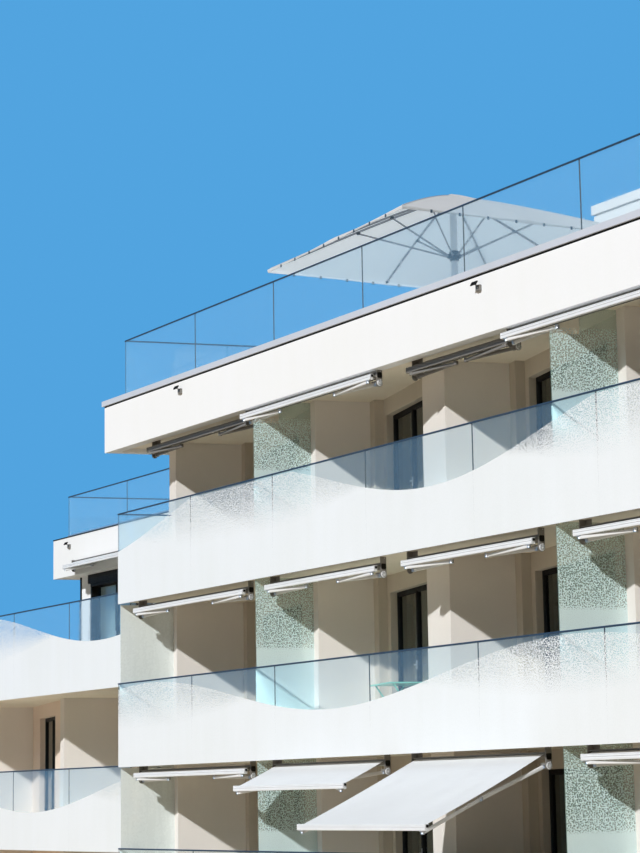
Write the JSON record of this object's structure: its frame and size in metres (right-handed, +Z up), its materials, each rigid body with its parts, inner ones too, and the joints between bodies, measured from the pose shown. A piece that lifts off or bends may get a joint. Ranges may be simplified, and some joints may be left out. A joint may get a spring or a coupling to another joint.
{
  "type": "apartment block",
  "caption": "Modern apartment block with a stepped front, slanted balconies of printed glass, folding-arm awnings, a roof terrace with a parasol, a penthouse and a lower wing.",
  "frame": {"origin": "on the ground slab underside, at the front of the left end wall of the main block", "axes": "+X along the rooms grid to the right as seen from the front, +Y inwards from the front, +Z up"},
  "size_m": [32.475, 21.4654, 15.54],
  "materials": {
    "concrete": "matte cast concrete",
    "soffit_render": "matte fine render, warm beige",
    "paving": "matte paving slabs",
    "white_render": "matte fine render, off-white",
    "taupe_render": "matte fine render, taupe",
    "capping_metal": "satin folded sheet",
    "dark_frame": "satin dark grey",
    "window_glass": "clear insulating glass",
    "printed_glass": "clear glass with a white printed lower part",
    "green_glass": "green-tinted glass with printed dots",
    "frosted_glass": "frosted grey-green glass",
    "rail_metal": "satin dark steel blue",
    "bracket_metal": "satin dark grey",
    "awning_white": "satin white powder coat",
    "awning_cloth": "woven acrylic cloth, off-white",
    "parasol_metal": "satin",
    "parasol_cloth": "woven cloth, off-white",
    "planter_shell": "matte shell, pale",
    "table_green": "satin mint green"
  },
  "bodies": {
    "root": {"ground_slab": "concrete", "floor_slabs": "soffit_render", "roof_slab": "soffit_render", "roof_deck": "paving", "roof_fascia": "white_render", "roof_capping": "capping_metal", "end_walls": "white_render", "balcony_piers": "white_render", "front_wall_ground": "taupe_render", "front_wall_first": "taupe_render", "front_wall_second": "taupe_render", "front_wall_third": "taupe_render", "rear_wall_ground": "white_render", "rear_wall_first": "white_render", "rear_wall_second": "white_render", "rear_wall_third": "white_render", "door_frames": "dark_frame", "door_glass": "window_glass", "window_frames": "dark_frame", "window_glass": "window_glass", "entrance_door": "dark_frame", "balcony_glass": "printed_glass", "glass_rails": "rail_metal", "privacy_screens": "green_glass", "end_screens": "frosted_glass", "awning_rollers": "bracket_metal", "awning_arms": "awning_white", "awning_front_bars": "awning_white", "awning_fabrics": "awning_cloth", "roof_glass": "printed_glass", "fascia_spotlights": "dark_frame", "parasol_mast": "parasol_metal", "parasol_frame": "parasol_metal", "parasol_canopy": "parasol_cloth", "planter_bowl": "planter_shell", "folding_table": "table_green", "penthouse_walls": "white_render", "penthouse_roof": "white_render", "wing_slabs": "soffit_render", "wing_walls": "taupe_render", "wing_room": "white_render", "wing_roof": "white_render", "wing_glass": "printed_glass", "roller_boxes": "dark_frame"}
  },
  "joints": []
}
